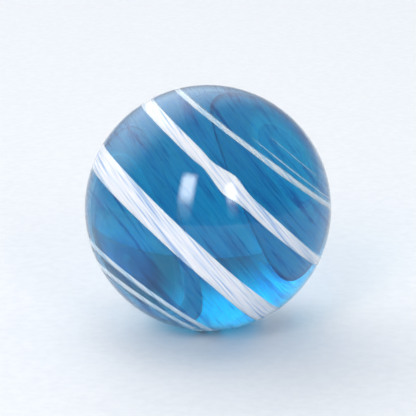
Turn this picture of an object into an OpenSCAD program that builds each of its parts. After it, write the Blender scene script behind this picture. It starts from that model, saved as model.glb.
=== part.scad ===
// Glass marble: a clear blue ball with opaque white ribbons in its skin.
// All sizes are in millimetres and all angles in degrees.
// The origin is the centre of the ball, and +Z is up.

/* [Ball] */
// Diameter of the ball
ball_d = 16; // [13:0.5:25]

/* [Swirl] */
// Lean of the swirl's axis from upright
swirl_lean = 52; // [0:1:90]
// Compass heading of that lean, from +X towards +Y
swirl_heading = 8; // [-180:1:180]
// Turn of the swirl about its own axis
swirl_turn = 17; // [-180:1:180]
// Share of a tail's length that is cut away, so that it ends in a sharp tip
tip_cut = 0.06; // [0.02:0.01:0.3]

/* [Broad ribbon] */
// Width of the broad ribbon
broad_w = 1.6; // [0.8:0.1:2]
// Thickness of the broad ribbon, inwards from the surface
broad_t = 0.45; // [0.2:0.05:1]
// Latitudes of the broad ribbon at the right, left, right and left of the swirl
broad_path = [-40, -25, -8, 18]; // [-60:1:60]

/* [Second ribbon] */
// Width of the second ribbon
second_w = 0.85; // [0.4:0.05:1.2]
// Thickness of the second ribbon, inwards from the surface
second_t = 0.35; // [0.2:0.05:1]
// Latitudes of the second ribbon at the right, left, right and left of the swirl
second_path = [-28, 9, 26, 48]; // [-60:1:60]

/* [Upper thread] */
// Width of the upper thread
upper_w = 0.35; // [0.2:0.05:0.8]
// Thickness of the upper thread, inwards from the surface
upper_t = 0.25; // [0.15:0.05:0.8]
// Latitudes of the upper thread at the right, left, right and left of the swirl
upper_path = [5, 24, 52, 66]; // [-75:1:75]

/* [Lower thread] */
// Width of the lower thread
lower_w = 0.45; // [0.2:0.05:0.8]
// Thickness of the lower thread, inwards from the surface
lower_t = 0.25; // [0.15:0.05:0.8]
// Latitudes of the lower thread at the right, left, right and left of the swirl
lower_path = [-50, -65, -35, -10]; // [-75:1:75]

/* [Foot thread] */
// Width of the foot thread
foot_w = 0.45; // [0.2:0.05:0.8]
// Thickness of the foot thread, inwards from the surface
foot_t = 0.25; // [0.15:0.05:0.8]
// Latitudes of the foot thread at the right, left, right and left of the swirl
foot_path = [-60, -76, -41, -58]; // [-78:1:75]

/* [Hidden] */
$fn = 120;

ball_r = ball_d / 2;
// How far a groove is cut past the surface, to leave it open
open_cut = 1;
// How far the flat cuts run past the ball, clear of every layer
past = 2 * open_cut;
// How far outside the ball the cuts in front meet those behind, so that the ball's own surface
// crosses each of them cleanly and no corner of three cuts lies on it
meet_out = 0.05;

left = -1;
right = 1;

// Tilt of the line midway between the broad and the second ribbon
gap_tilt = (broad_path[2] + second_path[2] - broad_path[1] - second_path[1]) / 4;

// Each row is a ribbon's width, thickness and path.
ribbons = [
    [broad_w, broad_t, broad_path],
    [second_w, second_t, second_path],
    [upper_w, upper_t, upper_path],
    [lower_w, lower_t, lower_path],
    [foot_w, foot_t, foot_path],
];

// A point just outside the ball's outline, as it is seen along the swirl's front axis
function rim(side, latitude) = (ball_r + meet_out) * [side * cos(latitude), sin(latitude)];

// The latitude of a ribbon's edge, half its width away from its middle
function edge(latitude, width) = latitude + asin(width / ball_d);

// The end of line a-b, carried on beyond b
function beyond(a, b) = b + past * (b - a) / norm(b - a);

// The point where line a-b crosses line c-d
function crossing(a, b, c, d) =
    let (ab = b - a, cd = d - c, ac = c - a)
    a + ab * cross(ac, cd) / cross(ab, cd);

// The swirl's own frame: its axis is Z, and its front is X.
module swirl_frame() {
    rotate([0, 0, swirl_heading])
        rotate([0, swirl_lean, 0])
            rotate([0, 0, -90 - swirl_turn])
                children();
}

// A ball whose poles and seam lie in the clear gap over the broad ribbon, where no cut crosses them
module ball(r) {
    rotate([90 + gap_tilt, 0, 0])
        sphere(r = r);
}

// Extrudes an outline, drawn as the rim is seen, through the half of the ball in front or behind.
module through_half(front) {
    mirror([front ? 0 : 1, 0, 0])
        rotate([90, 0, 90])
            linear_extrude(height = ball_r + past)
                children();
}

// The half turn in front, from left to right, between two flat cuts.
// On the ball each cut leaves an arc of a circle. The arcs of the tails behind meet these at the
// sides with no kink, as half circles do in a spiral drawn with compasses.
module front_run(at_left, at_right, width) {
    low_left = rim(left, edge(at_left, -width));
    low_right = rim(right, edge(at_right, -width));
    high_left = rim(left, edge(at_left, width));
    high_right = rim(right, edge(at_right, width));
    through_half(front = true)
        polygon([
            beyond(low_right, low_left),
            beyond(low_left, low_right),
            beyond(high_left, high_right),
            beyond(high_right, high_left),
        ]);
}

// A half turn behind, from one side to the other: its edges close in and cross, in a sharp tip.
module tail(side, from, to, width) {
    low_from = rim(side, edge(from, -width));
    low_to = rim(-side, edge(to, width * tip_cut));
    high_from = rim(side, edge(from, width));
    high_to = rim(-side, edge(to, -width * tip_cut));
    through_half(front = false)
        polygon([
            beyond(low_to, low_from),
            crossing(low_from, low_to, high_from, high_to),
            beyond(high_to, high_from),
        ]);
}

// The layer of the ball that a ribbon lies in
module layer(thickness, reach) {
    difference() {
        ball(ball_r + reach);
        ball(ball_r - thickness);
    }
}

// One ribbon: a tail behind, the run in front and a second tail behind
module ribbon(width, thickness, path, reach) {
    intersection() {
        layer(thickness, reach);
        tail(left, path[1], path[0], width);
    }
    intersection() {
        layer(thickness, reach);
        front_run(path[1], path[2], width);
    }
    intersection() {
        layer(thickness, reach);
        tail(right, path[2], path[3], width);
    }
}

// All ribbons, from their inner faces out to the surface, or past it by the reach given
module swirl(reach) {
    for (r = ribbons)
        ribbon(r[0], r[1], r[2], reach);
}

// The ball of clear glass, with a groove wherever a ribbon lies
module glass_ball() {
    color("deepskyblue")
        swirl_frame()
            difference() {
                ball(ball_r);
                swirl(open_cut);
            }
}

// The ribbons of opaque glass, flush with the ball
module white_ribbons() {
    color("white")
        swirl_frame()
            swirl(0);
}

glass_ball();
white_ribbons();
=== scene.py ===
# %% [markdown]
# # A glass marble
#
# The part is a ball of clear blue glass with opaque white ribbons fused flush into its skin.
# The construction model holds its true sizes. This script lays a finer surface over it: the ball as
# one smooth lens, and each ribbon as a band that swells, thins and fades as drawn glass does.
#
# Everything is in metres. +Z is up, the ball's centre is the origin and the viewer looks along +Y.

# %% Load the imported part
import math

import bmesh
import bpy
from mathutils import Matrix, Vector


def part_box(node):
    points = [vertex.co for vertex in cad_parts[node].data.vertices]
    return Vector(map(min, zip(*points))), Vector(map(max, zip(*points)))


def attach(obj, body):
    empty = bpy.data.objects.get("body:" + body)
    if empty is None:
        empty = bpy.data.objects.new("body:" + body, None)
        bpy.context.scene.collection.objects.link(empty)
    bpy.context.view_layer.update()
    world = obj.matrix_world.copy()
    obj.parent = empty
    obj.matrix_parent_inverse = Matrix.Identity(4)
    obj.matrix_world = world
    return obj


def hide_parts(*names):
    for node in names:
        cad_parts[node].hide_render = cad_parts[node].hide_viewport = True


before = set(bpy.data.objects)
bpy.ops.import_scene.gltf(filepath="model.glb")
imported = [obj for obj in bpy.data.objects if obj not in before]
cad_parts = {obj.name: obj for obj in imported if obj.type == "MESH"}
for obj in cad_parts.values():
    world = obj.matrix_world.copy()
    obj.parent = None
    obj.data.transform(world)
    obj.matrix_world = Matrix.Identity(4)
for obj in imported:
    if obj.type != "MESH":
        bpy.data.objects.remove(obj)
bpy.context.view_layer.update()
ball_low, ball_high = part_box("glass_ball")
ball_radius = (ball_high.z - ball_low.z) / 2
MM = 0.001

# %% [markdown]
# ## The swirl has a frame of its own
#
# The glass worker draws the hot glass out along one axis and twists it, so every ribbon runs round
# that axis. Here the axis leans to the right. The ribbons could be drawn straight on the tilted
# ball, but each would need its own odd angles. With the axis turned upright, a ribbon is simple:
# it climbs from the left side, across the front, to the right side. One rotation then tilts them all.

# %% Set the swirl's frame
swirl = (
    Matrix.Rotation(math.radians(8), 3, "Z")
    @ Matrix.Rotation(math.radians(52), 3, "Y")
    @ Matrix.Rotation(math.radians(-107), 3, "Z")
)
print("The swirl's axis points along", [round(c, 3) for c in swirl @ Vector((0, 0, 1))])

# %% [markdown]
# ## Colours and shader nodes
#
# A colour picked from a screen is not an amount of light: the screen's curve has to be undone first.
# A shader is a small tree of nodes. One helper adds any node, fills in its settings, sets the stops
# of a colour ramp and links its inputs, so a material reads as a short list of what feeds what.


# %% Colour and node helpers
def linear(hex_colour):
    """A screen colour such as "4fa3d0" as linear red, green, blue and alpha."""
    channels = [int(hex_colour[i:i + 2], 16) / 255 for i in (0, 2, 4)]
    return [c / 12.92 if c <= 0.04045 else ((c + 0.055) / 1.055) ** 2.4 for c in channels] + [1.0]


def add(tree, kind, settings=None, stops=(), **inputs):
    """A new node of that kind. settings go on the node, stops are places and screen colours on a
    colour ramp, and inputs are values, or nodes or sockets to link from. _0 is the first input."""
    node = tree.nodes.new(kind)
    for name, value in (settings or {}).items():
        setattr(node, name, value)
    for number, (place, colour) in enumerate(stops):
        elements = node.color_ramp.elements
        element = elements[number] if number < len(elements) else elements.new(place)
        element.position = place
        element.color = linear(colour)
    for name, value in inputs.items():
        socket = node.inputs[int(name[1:]) if name[0] == "_" else name.replace("_", " ")]
        if isinstance(value, bpy.types.Node):
            tree.links.new(value.outputs[0], socket)
        elif isinstance(value, bpy.types.NodeSocket):
            tree.links.new(value, socket)
        else:
            socket.default_value = value
    return node


def new_material(name):
    """An empty material."""
    material = bpy.data.materials.new(name)
    material.use_nodes = True
    material.node_tree.nodes.clear()
    return material


print("Mid grey on screen, e.g. 808080, is", round(linear("808080")[0], 2), "of white as light")

# %% [markdown]
# ## Streaks that follow the swirl
#
# Both glasses are streaky, because they were stretched and twisted while soft. A streak could be
# painted, but noise that is squeezed one way does it at any size: it changes fast across the ribbons
# and slowly along them. The object's own coordinates are turned into the swirl's frame, then tilted
# a little, since the ribbons climb as they cross the front.

# %% Streak pattern
CLIMB = math.radians(-12)
STREAK_HARDNESS = 0.65


def streaks(tree, across_mm, along_mm, detail, distortion):
    """Noise drawn out along the swirl: across_mm and along_mm are the sizes of one streak."""
    place = add(tree, "ShaderNodeTexCoord").outputs["Object"]
    turned = add(tree, "ShaderNodeMapping", {"vector_type": "TEXTURE"},
                 Vector=place, Rotation=swirl.to_euler())
    along = 1 / (along_mm * MM)
    across = 1 / (across_mm * MM)
    climbing = add(tree, "ShaderNodeMapping",
                   Vector=turned, Rotation=(CLIMB, 0, 0), Scale=(along, along, across))
    return add(tree, "ShaderNodeTexNoise", Vector=climbing, Scale=1.0, Detail=detail,
               Roughness=STREAK_HARDNESS, Distortion=distortion)


print("Streaks climb by", round(-math.degrees(CLIMB)), "degrees across the front")

# %% [markdown]
# ## Blue glass
#
# Common name: blue soda-lime glass. It was gathered molten and rolled round while soft, so its skin
# is fire polished: no scratches, only a mirror-like gloss. The colour sits in the depth of the glass.
# Red light dies within a few millimetres and green within a centimetre or so, so thin glass looks
# pale and thick glass looks deep blue. Painting the surface blue would lose that, so the ball is clear glass
# round a volume that absorbs. Light that falls through it reaches the floor tinted: for shadows the
# skin counts as plain clear, because a path tracer can't find the way of focused light.

# %% Make the blue glass
GLASS_IOR = 1.52
# How well red, green and blue pass through the glass, and how fast it takes the rest, per metre
PASSING = (0.0, 0.81, 0.90, 1.0)
LOSS = 460.0


def blue_glass():
    """Clear glass with streaks in its skin, round a volume that takes away red first and then green."""
    material = new_material("Blue soda-lime glass")
    tree = material.node_tree
    pattern = streaks(tree, across_mm=0.7, along_mm=9.0, detail=6.0, distortion=0.4)
    tint = add(tree, "ShaderNodeValToRGB", _0=pattern,
               stops=[(0.36, "2f78b4"), (0.44, "c4e4fb"), (0.54, "ffffff"), (0.63, "5aa3d4")])
    glass = add(tree, "ShaderNodeBsdfPrincipled", Base_Color=tint, Roughness=0.0, IOR=GLASS_IOR,
                Transmission_Weight=1.0)
    in_shadow = add(tree, "ShaderNodeLightPath").outputs["Is Shadow Ray"]
    clear = add(tree, "ShaderNodeBsdfTransparent", Color=linear("f2fbff"))
    skin = add(tree, "ShaderNodeMixShader", _0=in_shadow, _1=glass, _2=clear)
    depth = add(tree, "ShaderNodeVolumeAbsorption", Color=PASSING, Density=LOSS)
    add(tree, "ShaderNodeOutputMaterial", Surface=skin, Volume=depth)
    return material


blue = blue_glass()
across_ball = math.exp(-LOSS * (1 - PASSING[1]) * 2 * ball_radius)
print("Made", blue.name, "and", round(100 * across_ball), "% of green light crosses the whole ball")

# %% [markdown]
# ## White glass
#
# Common name: opal or milk glass. Fine crystals in it scatter the light, so it looks solid white
# with a cool cast, and light from behind glows through it. It was drawn out into bands, so it shows
# fine streaks along its length, bluer where the white is thin. Its outer face is fire polished like
# the ball. Its inner face is fused to the blue glass, so it has no gloss of its own.
#
# White paint would look as bright, but no light would come through it, and the ribbons behind would
# show as dark shapes in the ball. Subsurface scattering lets light wander through the glass. It may
# wander further behind the inner face, which makes the far ribbons as faint as in real glass. The inner
# face is also given a whiter colour than the outer one. That is painted light: it lifts the far ribbons
# out of the shade they lie in behind the blue glass.

# %% Make the white glass
SCATTER = 0.85
# Roughness and strength of the mirror-like gloss: outside, and where the glass is fused
POLISHED = 0.03
GLOSS = 0.5
DULL = 0.5
NO_GLOSS = 0.0


def white_glass(name, stops, roughness, gloss, depth_mm):
    """Scattering white glass. depth_mm is how far light wanders in it, on average, between two turns."""
    material = new_material(name)
    tree = material.node_tree
    pattern = streaks(tree, across_mm=0.16, along_mm=6.0, detail=3.0, distortion=0.2)
    colour = add(tree, "ShaderNodeValToRGB", _0=pattern, stops=stops)
    glass = add(tree, "ShaderNodeBsdfPrincipled", Base_Color=colour, Roughness=roughness, IOR=GLASS_IOR,
                Specular_IOR_Level=gloss, Subsurface_Weight=SCATTER, Subsurface_Radius=(1.0, 1.0, 1.0),
                Subsurface_Scale=depth_mm * MM)
    add(tree, "ShaderNodeOutputMaterial", Surface=glass)
    return material


OPAQUE = [(0.34, "8fb2dc"), (0.45, "d9e0ee"), (0.56, "faf6f8"), (0.70, "d3d6e5")]
THIN = [(0.28, "79a8d6"), (0.42, "a9cae9"), (0.56, "e6ecf7"), (0.75, "bccfe9")]
# The inner face's colours are whiter than the outer face's: painted light on the far ribbons' shaded side
FUSED_PAINTED_LIGHT = [(0.30, "e9eff7"), (0.60, "ffffff")]
white = white_glass("Opaque white opal glass", OPAQUE, POLISHED, GLOSS, depth_mm=0.7)
thin_white = white_glass("Thin white opal glass", THIN, POLISHED, GLOSS, depth_mm=1.0)
# A copy of the white glass painted lighter, standing in for light that the far ribbons' inner faces lack
fused_white_painted_light = white_glass("Fused inner face of white opal glass, painted lighter", FUSED_PAINTED_LIGHT, DULL, NO_GLOSS, depth_mm=6.0)
print("Made", [m.name for m in (white, thin_white, fused_white_painted_light)])

# %% [markdown]
# ## The ball
#
# A ball of glass is a strong lens, so its surface has to be smooth: any flat facet would show as a
# broken reflection. A UV sphere crowds its faces at two poles. A sphere split evenly into small
# triangles has no pole. Its skin lies a hair below the ribbons' outer faces, which cover it.

# %% Build the ball
SKIN = 0.005 * MM


def new_piece(name, build, materials):
    """A smooth-shaded object at the origin, from the bmesh that build fills."""
    mesh = bpy.data.meshes.new(name)
    bm = bmesh.new()
    build(bm)
    bmesh.ops.recalc_face_normals(bm, faces=bm.faces)
    for face in bm.faces:
        face.smooth = True
    bm.to_mesh(mesh)
    bm.free()
    for material in materials:
        mesh.materials.append(material)
    piece = bpy.data.objects.new(name, mesh)
    bpy.context.scene.collection.objects.link(piece)
    return piece


def build_ball(bm):
    """A sphere of triangles, fine enough that it bends light without a facet."""
    bmesh.ops.create_icosphere(bm, subdivisions=7, radius=ball_radius - SKIN)


ball = new_piece("blue_glass_ball", build_ball, [blue])
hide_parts("glass_ball")
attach(ball, "root")
print(ball.name, "has", len(ball.data.polygons), "faces")

# %% [markdown]
# ## The path of a ribbon
#
# Each ribbon is given by four latitudes round the swirl: at its right tip, left side, right side
# and left tip. It has three runs: one behind, one across the front and one more behind. A spline
# through hand-placed points would wander off the ball. So, like the solids, a run lies between two
# flat cuts through the ball, and its middle is an arc of a circle, which a formula gives exactly.
# Where two runs meet at a side, one is blended into the other over a short way.

# %% Follow a path
# Half the length of the blend at a side, where a run from side to side is 1
BLEND = 0.03


def rim(side, latitude):
    """A point on the unit ball's outline, seen from the swirl's front.
    side is -1 for left and 1 for right."""
    return Vector((0, side * math.cos(math.radians(latitude)), math.sin(math.radians(latitude))))


def on_run(start, end, front, share, offset, radius):
    """A point on the half circle from start to end, which passes through the front (1) or the back (-1).
    offset is how far it lies above the run's middle, along the surface, and radius is how far it lies
    from the ball's centre."""
    chord = (end - start).normalized()
    normal = Vector((0, -chord.z, chord.y)) * (1 if chord.y > 0 else -1)
    tilt = normal.dot((start + end) / 2)
    level = ball_radius * tilt + offset * math.sqrt(1 - tilt ** 2)
    outward = Vector((front * math.sin(math.pi * share), 0, 0)) - chord * math.cos(math.pi * share)
    return normal * level + outward * math.sqrt(radius ** 2 - level ** 2)


def path_point(latitudes, along, offset=0.0, radius=ball_radius):
    """A point of the ribbon: along runs from 0 at one tip, through 1 and 2 at the sides, to 3."""
    tip_right, at_left, at_right, tip_left = latitudes
    runs = [
        (rim(1, tip_right), rim(-1, at_left), -1),
        (rim(-1, at_left), rim(1, at_right), 1),
        (rim(1, at_right), rim(-1, tip_left), -1),
    ]
    side = 1 if along < 1.5 else 2
    later = min(max((along - side) / BLEND / 2 + 0.5, 0), 1)
    before = on_run(*runs[side - 1], along - side + 1, offset, radius)
    after = on_run(*runs[side], along - side, offset, radius)
    return before.lerp(after, later)


print("A path crosses the front at", [round(c / MM, 2) for c in path_point([-40, -25, -8, 18], 1.5)], "mm")

# %% [markdown]
# ## The width of a ribbon
#
# The bands were pulled by hand, so no width is constant. Each ribbon has a plain width, some places
# in front where it swells or necks, a slow wave of its own, and two tips that run out to nothing.
# A noise could vary the width, but then a neck would fall anywhere. Smooth bumps put each one in its
# place, and add up where they meet.

# %% Shape the width
# The share of its width that a tip keeps, so that the ribbon stays a closed shape there
TIP = 0.02
# A ribbon narrows by this much over a whole run behind: more than 1, so it is thin before its path ends
FALL = 1.06
# The length of a tip, where a run from side to side is 1
FADE = 0.12


def swell(y, bumps):
    """The factor on the width at y, the place from left (-1) to right (1).
    Each bump is its place, its reach and its amount."""
    return 1 + sum(amount * math.exp(-((y - place) / reach) ** 2) for place, reach, amount in bumps)


def taper(along, span):
    """The factor on the width: 1 in front, and behind it falls evenly to almost nothing at the tip.
    A line that fades out sooner has a shorter span."""
    past_side = max(1 - along, along - 2, 0)
    behind = 1 - FALL * (1 - math.cos(math.pi * past_side)) / 2
    ends = min(along - span[0], span[1] - along) / FADE
    return max(min(behind, ends), TIP)


print("Half way round the back a ribbon has", round(taper(2.5, (0, 3)), 2), "of its width")

# %% [markdown]
# ## From a tube to a ribbon
#
# A ribbon could be a curve with a width, but its cuts have to stay flat like those of the solids. So
# it starts as a closed tube: one operator makes it and another cuts it into rings.
# Then every point is moved: across the tube is across the ribbon, one half of the tube becomes the
# face in the skin, the other half the face sunk in the glass, and the tube's length is the path.

# %% Shape a ribbon
SIDES = 10
# Along the path, where a run from side to side is 1: the space between rings, and a ribbon's two ends
RING_STEP = 0.0115
WHOLE = (0.178, 2.822)
# How fast the waves of the two edges run
UPPER_WAVE = 7.3
LOWER_WAVE = 9.1
# A small power makes the sunken half flat with tight corners, and 1 would leave it round
SQUARENESS = 0.15
# A tip gets thinner only where its width is under an eighth
TIP_DEPTH = 8


def build_ribbon(bm, latitudes, width, thickness, wave, bumps=(), span=WHOLE):
    """A closed tube bent along the path. Faces of the sunken half get the second material."""
    bmesh.ops.create_cone(bm, cap_ends=True, segments=2 * SIDES, radius1=1, radius2=1, depth=1)
    lengthwise = [edge for edge in bm.edges if abs(edge.verts[0].co.z - edge.verts[1].co.z) > 0.5]
    cuts = round((span[1] - span[0]) / RING_STEP)
    bmesh.ops.subdivide_edges(bm, edges=lengthwise, cuts=cuts)
    for face in bm.faces:
        face.material_index = 1 if face.calc_center_median().y > 0.01 else 0
    for vert in bm.verts:
        across, down, length = vert.co
        along = span[0] + (span[1] - span[0]) * (length + 0.5)
        narrowed = taper(along, span)
        width_here = width * narrowed
        if 1 <= along <= 2:
            width_here *= swell(path_point(latitudes, along).y / ball_radius, bumps)
        # Each edge has its own wave, and the latitude shifts it, so that no two ribbons swell in step
        if across > 0:
            ripple = math.sin(UPPER_WAVE * along + 11 * latitudes[1])
        else:
            ripple = math.sin(LOWER_WAVE * along + 5 * latitudes[2])
        offset = across * (1 + wave * ripple) * width_here / 2
        sunk = thickness * min(1, TIP_DEPTH * narrowed) * max(round(down, 4), 0) ** SQUARENESS
        vert.co = swirl @ path_point(latitudes, along, offset, ball_radius - sunk)


print("A tube has", 2 * SIDES, "sides and", round((WHOLE[1] - WHOLE[0]) / RING_STEP) + 2, "rings")

# %% [markdown]
# ## The ribbons
#
# The broad band runs nearly straight. The second one has a narrow neck left of its middle and a
# bulge just after it, then thins towards the right. The threads are fine, and the upper one swells
# near its middle. Two hair lines beside it fade out before they reach the sides.
# Seven blocks of code would hide what differs, so one table lists it and one loop builds them all.

# %% Build the ribbons
RIBBONS = {
    "broad_ribbon": dict(latitudes=[-40, -25, -8, 18], width=1.6 * MM, thickness=0.45 * MM, wave=0.03,
                         bumps=[(-0.6, 0.3, 0.06), (0.5, 0.3, -0.08)]),
    "second_ribbon": dict(latitudes=[-28, 9, 26, 48], width=0.85 * MM, thickness=0.35 * MM, wave=0.05,
                          bumps=[(-0.28, 0.07, -0.20), (-0.04, 0.11, 0.65), (1.00, 0.35, -0.35)]),
    "upper_thread": dict(latitudes=[5, 24, 52, 66], width=0.35 * MM, thickness=0.25 * MM, wave=0.05,
                         bumps=[(0.12, 0.16, 0.35)]),
    "lower_thread": dict(latitudes=[-50, -65, -35, -10], width=0.45 * MM, thickness=0.25 * MM, wave=0.05,
                         bumps=[(0.3, 0.3, -0.1)]),
    "foot_thread": dict(latitudes=[-60, -76, -41, -58], width=0.45 * MM, thickness=0.25 * MM, wave=0.06,
                        bumps=[(0.2, 0.2, 0.25)]),
    "hair_line_inner": dict(latitudes=[14, 31.5, 55.5, 68], width=0.11 * MM, thickness=0.05 * MM, wave=0.2,
                            span=(1.46, 1.94)),
    "hair_line_outer": dict(latitudes=[20, 41, 62, 72], width=0.08 * MM, thickness=0.05 * MM, wave=0.2,
                            span=(1.50, 1.86)),
}
for name, shape in RIBBONS.items():
    outer_face = white if "ribbon" in name else thin_white
    ribbon = new_piece(name, lambda bm: build_ribbon(bm, **shape), [outer_face, fused_white_painted_light])
    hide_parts("white_ribbons")
    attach(ribbon, "root")
    print(name, "has", len(ribbon.data.polygons), "faces")

# %% [markdown]
# ## Floor
#
# The marble lies on pale matt card, made from pressed pulp. It has no gloss and a faint grain. A
# plain white plane would do, but a grain keeps the floor from looking like empty space.

# %% Lay the floor
FLOOR_REACH = 1.5
GRAIN = 0.6 * MM


def floor_card():
    """Matt pale card with a faint grain."""
    material = new_material("Pale matt card")
    tree = material.node_tree
    place = add(tree, "ShaderNodeTexCoord").outputs["Object"]
    grain = add(tree, "ShaderNodeTexNoise", Vector=place, Scale=1 / GRAIN, Detail=2.0)
    colour = add(tree, "ShaderNodeValToRGB", _0=grain.outputs[0], stops=[(0.3, "e3e5e9"), (0.7, "e8eaed")])
    card = add(tree, "ShaderNodeBsdfPrincipled", Base_Color=colour, Roughness=0.7)
    add(tree, "ShaderNodeOutputMaterial", Surface=card)
    return material


def build_floor(bm):
    """One flat square that touches the ball from below."""
    bmesh.ops.create_grid(bm, x_segments=1, y_segments=1, size=FLOOR_REACH)
    bmesh.ops.translate(bm, verts=bm.verts, vec=(0, 0, -ball_radius))


floor = new_piece("floor", build_floor, [floor_card()])
print("The floor lies", round(ball_radius / MM, 2), "mm under the ball's centre")

# %% [markdown]
# ## The room
#
# Clear glass shows what is round it, upside down, so the room is as much a part of the look as the
# glass. It is pale all round, and brighter towards one soft glow behind the ball on the left, as
# from a window. The ball throws that glow to its lower right. A lamp there would show as a hard
# bright shape in the glass, so the glow is part of the room, and fades in above the horizon.

# %% Light the room
ELEVATION = math.radians(16)
RIGHT = Vector((1, 0, 0))
UP = Vector((0, math.sin(ELEVATION), math.cos(ELEVATION)))
NEAR = Vector((0, -math.cos(ELEVATION), math.sin(ELEVATION)))
# The room's brightness on its dim side and towards the glow, and what the glow adds at its middle
DIM_SIDE = 0.43
BRIGHT_SIDE = 0.64
GLOW = 2.4

world = bpy.data.worlds.new("Soft room")
bpy.context.scene.world = world
world.use_nodes = True
room = world.node_tree
room.nodes.clear()
# height is -1 straight down and 1 straight up, and facing is 1 towards the glow and -1 away from it
way = add(room, "ShaderNodeTexCoord").outputs["Generated"]
height = add(room, "ShaderNodeSeparateXYZ", Vector=way).outputs["Z"]
level = add(room, "ShaderNodeMapRange", Value=height, From_Min=-0.1, From_Max=0.9)
walls = add(room, "ShaderNodeValToRGB", _0=level,
            stops=[(0.08, "ffffff"), (0.32, "ccd4dc"), (0.6, "dde3e9"), (1.0, "ffffff")])
glow_way = (RIGHT * -0.55 + UP * 0.52 + NEAR * -0.66).normalized()
facing = add(room, "ShaderNodeVectorMath", {"operation": "DOT_PRODUCT"}, _0=way, _1=glow_way).outputs["Value"]
broad = add(room, "ShaderNodeMapRange", Value=facing,
            From_Min=-0.6, From_Max=0.8, To_Min=DIM_SIDE, To_Max=BRIGHT_SIDE)
window = add(room, "ShaderNodeMapRange", {"interpolation_type": "SMOOTHERSTEP"}, Value=facing,
             From_Min=0.50, From_Max=1.0, To_Min=0.0, To_Max=GLOW)
rising = add(room, "ShaderNodeMapRange", {"interpolation_type": "SMOOTHSTEP"}, Value=height,
             From_Min=-0.02, From_Max=0.40)
glow = add(room, "ShaderNodeMath", {"operation": "MULTIPLY"}, _0=window, _1=rising)
strength = add(room, "ShaderNodeMath", {"operation": "ADD"}, _0=broad, _1=glow)
lit = add(room, "ShaderNodeBackground", Color=walls, Strength=strength)
add(room, "ShaderNodeOutputWorld", Surface=lit)
print("The glow lies along", [round(c, 2) for c in glow_way])

# %% [markdown]
# ## Lamps
#
# Two narrow softboxes beside the camera give the pair of upright glints on the front. A plain
# softbox would show as a hard white rectangle, so its light fades towards its edges. A third one
# overhead gives the ball its shadow. It is hidden from the glass, which would show it as a patch.

# %% Place the lamps
# Brightness across a lamp, as places from edge to edge and shades of grey
SIDE_FADE = [(0.0, "000000"), (0.3, "ffffff"), (0.7, "ffffff"), (1.0, "000000")]
FADING = [(0.0, "000000"), (0.35, "707070"), (0.55, "f0f0f0"), (0.85, "ffffff"), (1.0, "000000")]
EVEN = [(0.0, "000000"), (0.25, "ffffff"), (0.75, "ffffff"), (1.0, "000000")]


def softbox(name, direction, distance, width, height, power, profile):
    """An area light that faces the ball. direction is right, up and towards the camera.
    profile is its brightness from bottom to top, as stops of a ramp. Its sides fall off softly."""
    toward = (RIGHT * direction[0] + UP * direction[1] + NEAR * direction[2]).normalized()
    data = bpy.data.lights.new(name, "AREA")
    data.shape = "RECTANGLE"
    data.size = width
    data.size_y = height
    data.energy = power
    data.use_nodes = True
    tree = data.node_tree
    across_lamp = add(tree, "ShaderNodeNewGeometry").outputs["Parametric"]
    spot = add(tree, "ShaderNodeSeparateXYZ", Vector=across_lamp)
    sideways = add(tree, "ShaderNodeValToRGB", _0=spot.outputs["X"], stops=SIDE_FADE)
    upward = add(tree, "ShaderNodeValToRGB", _0=spot.outputs["Y"], stops=profile)
    shape = add(tree, "ShaderNodeMath", {"operation": "MULTIPLY"}, _0=sideways, _1=upward)
    tree.links.new(shape.outputs[0], tree.nodes["Emission"].inputs["Strength"])
    lamp = bpy.data.objects.new(name, data)
    turned = toward.to_track_quat("Z", "Y").to_matrix().to_4x4()
    lamp.matrix_world = Matrix.Translation(toward * distance) @ turned
    bpy.context.scene.collection.objects.link(lamp)
    return lamp


softbox("left_glint", (-0.34, 0.17, 0.92), distance=1.0, width=0.30, height=0.84, power=11.6, profile=FADING)
softbox("right_glint", (0.37, 0.12, 0.92), distance=1.0, width=0.22, height=0.60, power=4.8, profile=FADING)
overhead = softbox("overhead", (0.1, 0.95, 0.2), distance=0.7, width=0.5, height=0.5, power=1.2, profile=EVEN)
overhead.visible_glossy = False
overhead.visible_transmission = False

# %% [markdown]
# ## Camera
#
# The view looks down on the marble by about sixteen degrees, from far off. A short lens close by
# would bulge the ball's middle, so a long lens is used.

# %% Set the camera
LENS = 200
SENSOR = 36
DISTANCE = 0.150
camera_data = bpy.data.cameras.new("camera")
camera_data.lens = LENS
camera_data.sensor_width = SENSOR
camera_data.clip_start = 0.005
camera_data.clip_end = 10
camera = bpy.data.objects.new("camera", camera_data)
camera_turn = NEAR.to_track_quat("Z", "Y").to_matrix().to_4x4()
camera.matrix_world = Matrix.Translation(NEAR * DISTANCE) @ camera_turn
bpy.context.scene.collection.objects.link(camera)
bpy.context.scene.camera = camera
bpy.context.scene.view_settings.view_transform = "Standard"
print("The picture is", round(SENSOR / LENS * DISTANCE / MM, 1), "mm wide at the ball")
